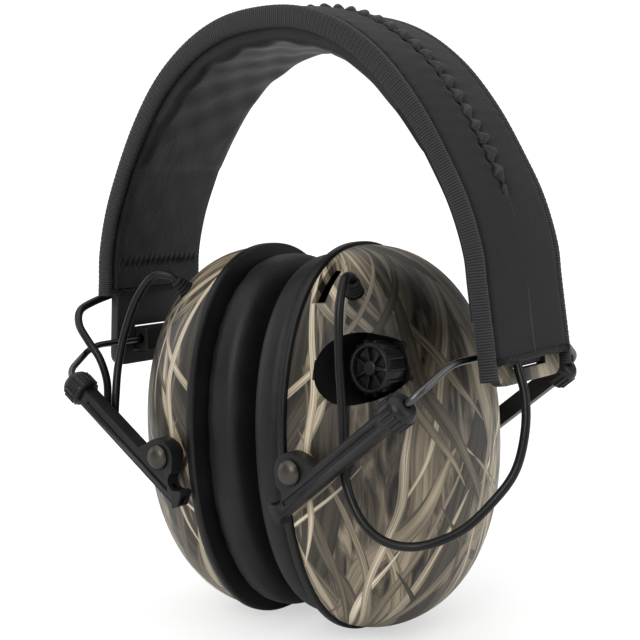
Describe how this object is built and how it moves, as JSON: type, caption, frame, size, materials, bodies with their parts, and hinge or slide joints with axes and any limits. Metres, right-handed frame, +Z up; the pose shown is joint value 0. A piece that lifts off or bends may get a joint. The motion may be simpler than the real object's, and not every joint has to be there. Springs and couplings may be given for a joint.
{
  "type": "earmuff hearing protector",
  "caption": "Padded strap over the head with wire bails, sliding yoke arms and domed ear cups with soft cushions, a volume knob and looped cables.",
  "frame": {"origin": "middle of the crown's underside, where the strap rests on the head", "axes": "+Z up, +X towards the cup with the volume knob, -Y towards the wearer's front"},
  "size_m": [0.1523, 0.0933, 0.1803],
  "materials": {
    "fabric": "plain black woven cover",
    "spring_steel": "rolled spring strip",
    "vinyl": "soft black leatherette",
    "binding": "black ribbed binding",
    "cable": "black cable sheath",
    "wire": "dark drawn wire",
    "plastic": "dark grey moulding, lightly textured",
    "rubber": "matt black",
    "rivet": "domed, satin",
    "shell": "satin, printed in a dry-grass pattern",
    "foam": "open-cell foam",
    "speaker": "pressed can",
    "board": "solder mask",
    "knob": "dark ribbed moulding",
    "cell": "plain sleeve"
  },
  "bodies": {
    "band": {"spring_band": "spring_steel", "band_sleeve": "fabric", "crown_pad": "vinyl", "front_binding": "binding", "rear_binding": "binding", "crown_seam": "fabric", "end_plate_near": "plastic", "bail_clip_near": "rubber", "end_plate_far": "plastic", "bail_clip_far": "rubber", "cable_near_band": "cable", "cable_far_band": "cable"},
    "bail_near": {"wire_bail_near": "wire"},
    "yoke_near": {"arm_near_front": "plastic", "arm_near_rear": "plastic", "collar_near_front": "plastic", "collar_near_rear": "plastic", "rivet_near_front": "rivet", "rivet_near_rear": "rivet", "cable_near_yoke": "cable"},
    "cup_near": {"cup_shell_near": "shell", "base_plate_near": "plastic", "cushion_near": "vinyl", "foam_liner_near": "foam", "speaker_near": "speaker", "grommet_near": "rubber", "microphone_near": "foam", "cable_near_cup": "cable", "circuit_board": "board", "volume_pot": "speaker", "pivot_bush_near_front": "rubber", "pivot_bush_near_rear": "rubber"},
    "bail_far": {"wire_bail_far": "wire"},
    "yoke_far": {"arm_far_front": "plastic", "arm_far_rear": "plastic", "collar_far_front": "plastic", "collar_far_rear": "plastic", "rivet_far_front": "rivet", "rivet_far_rear": "rivet", "cable_far_yoke": "cable"},
    "cup_far": {"cup_shell_far": "shell", "base_plate_far": "plastic", "cushion_far": "vinyl", "foam_liner_far": "foam", "speaker_far": "speaker", "grommet_far": "rubber", "microphone_far": "foam", "cable_far_cup": "cable", "battery_tray": "plastic", "battery_front": "cell", "battery_rear": "cell", "pivot_bush_far_front": "rubber", "pivot_bush_far_rear": "rubber"},
    "volume_control": {"volume_knob": "knob"},
    "battery_cover": {"battery_door": "shell"}
  },
  "joints": [
    {"name": "bail_swing_near", "type": "hinge", "parent": "band", "child": "bail_near", "pos_m": [0.0658, 0, -0.0847], "axis": [0, -1, 0], "range_deg": [0, 28], "deforming": ["cable_near_band"]},
    {"name": "arm_slide_near", "type": "slide", "parent": "bail_near", "child": "yoke_near", "axis": [-0.8049, 0, -0.5934], "range_m": [0, 0.0251], "deforming": ["cable_near_yoke"]},
    {"name": "cup_level_near", "type": "hinge", "parent": "yoke_near", "child": "cup_near", "pos_m": [0.0242, 0, -0.1135], "axis": [0, 1, 0], "range_deg": [0, 28.1], "deforming": ["cable_near_cup"]},
    {"name": "bail_swing_far", "type": "hinge", "parent": "band", "child": "bail_far", "pos_m": [-0.0658, 0, -0.0847], "axis": [0, 1, 0], "range_deg": [0, 28], "deforming": ["cable_far_band"]},
    {"name": "arm_slide_far", "type": "slide", "parent": "bail_far", "child": "yoke_far", "axis": [0.8049, 0, -0.5934], "range_m": [0, 0.0251], "deforming": ["cable_far_yoke"]},
    {"name": "cup_level_far", "type": "hinge", "parent": "yoke_far", "child": "cup_far", "pos_m": [-0.0242, 0, -0.1135], "axis": [0, -1, 0], "range_deg": [0, 28.1], "deforming": ["cable_far_cup"]},
    {"name": "volume_turn", "type": "hinge", "parent": "cup_near", "child": "volume_control", "pos_m": [0.0385, -0.0254, -0.0875], "axis": [-0.1004, -0.9937, 0.0502], "range_deg": [0, 280]},
    {"name": "battery_door_pull", "type": "slide", "parent": "cup_far", "child": "battery_cover", "axis": [-1, 0, 0], "range_m": [0, 0.012]}
  ],
  "couplings": [
    {"joint": "arm_slide_near", "follows": "bail_swing_near", "m_per_rad": 0.051157},
    {"joint": "cup_level_near", "follows": "bail_swing_near", "ratio": 1},
    {"joint": "arm_slide_far", "follows": "bail_swing_far", "m_per_rad": 0.051157},
    {"joint": "cup_level_far", "follows": "bail_swing_far", "ratio": 1}
  ]
}
